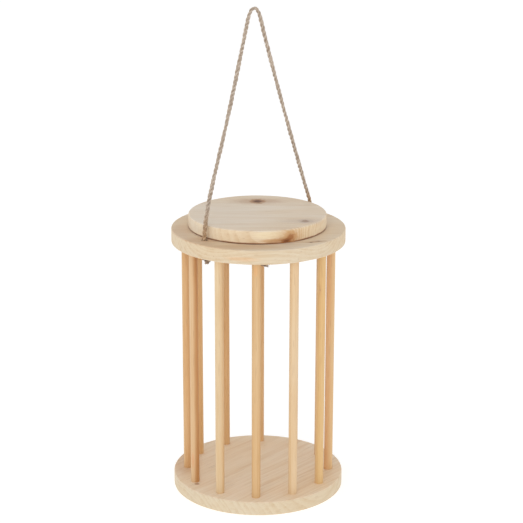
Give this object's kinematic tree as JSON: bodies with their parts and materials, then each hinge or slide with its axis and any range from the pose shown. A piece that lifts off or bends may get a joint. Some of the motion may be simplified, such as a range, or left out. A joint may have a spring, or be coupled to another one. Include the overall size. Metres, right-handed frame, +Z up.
{
  "type": "hanging lantern",
  "caption": "Cylindrical pine lantern: round base and ring joined by a cage of dowels, a loose round lid over the opening and a twisted jute hanging loop.",
  "frame": {"origin": "centre of the base board's underside, on the cage's axis", "axes": "+Z up along the cage's axis; the first dowel stands on +X; the near rope hole lies towards -X -Y"},
  "size_m": [0.16, 0.16, 0.4537],
  "materials": {
    "pine_boards": "bare sanded pine, matt",
    "pine_lid": "bare sanded pine with dark knots, matt",
    "dowel_wood": "bare turned softwood dowel, matt, warmer than the boards",
    "jute_rope": "three-strand twisted jute, hairy and matt"
  },
  "bodies": {
    "cage": {"base_plate": "pine_boards", "top_ring": "pine_boards", "dowel_01": "dowel_wood", "dowel_02": "dowel_wood", "dowel_03": "dowel_wood", "dowel_04": "dowel_wood", "dowel_05": "dowel_wood", "dowel_06": "dowel_wood", "dowel_07": "dowel_wood", "dowel_08": "dowel_wood", "dowel_09": "dowel_wood", "dowel_10": "dowel_wood", "dowel_11": "dowel_wood", "dowel_12": "dowel_wood", "rope_knot_near": "jute_rope", "rope_knot_far": "jute_rope", "rope_foot_near": "jute_rope", "rope_foot_far": "jute_rope", "rope_tail_near": "jute_rope", "rope_tail_far": "jute_rope"},
    "lid": {"lid": "pine_lid"},
    "rope_loop": {"rope_loop": "jute_rope"}
  },
  "joints": [
    {"name": "lid_slide", "type": "slide", "parent": "cage", "child": "lid", "axis": [0.7071, -0.7071, 0], "range_m": [-0.145, 0.145]},
    {"name": "rope_fold", "type": "hinge", "parent": "cage", "child": "rope_loop", "pos_m": [0, 0, 0.2675], "axis": [0.7071, 0.7071, 0], "range_deg": [-80, 80]}
  ]
}
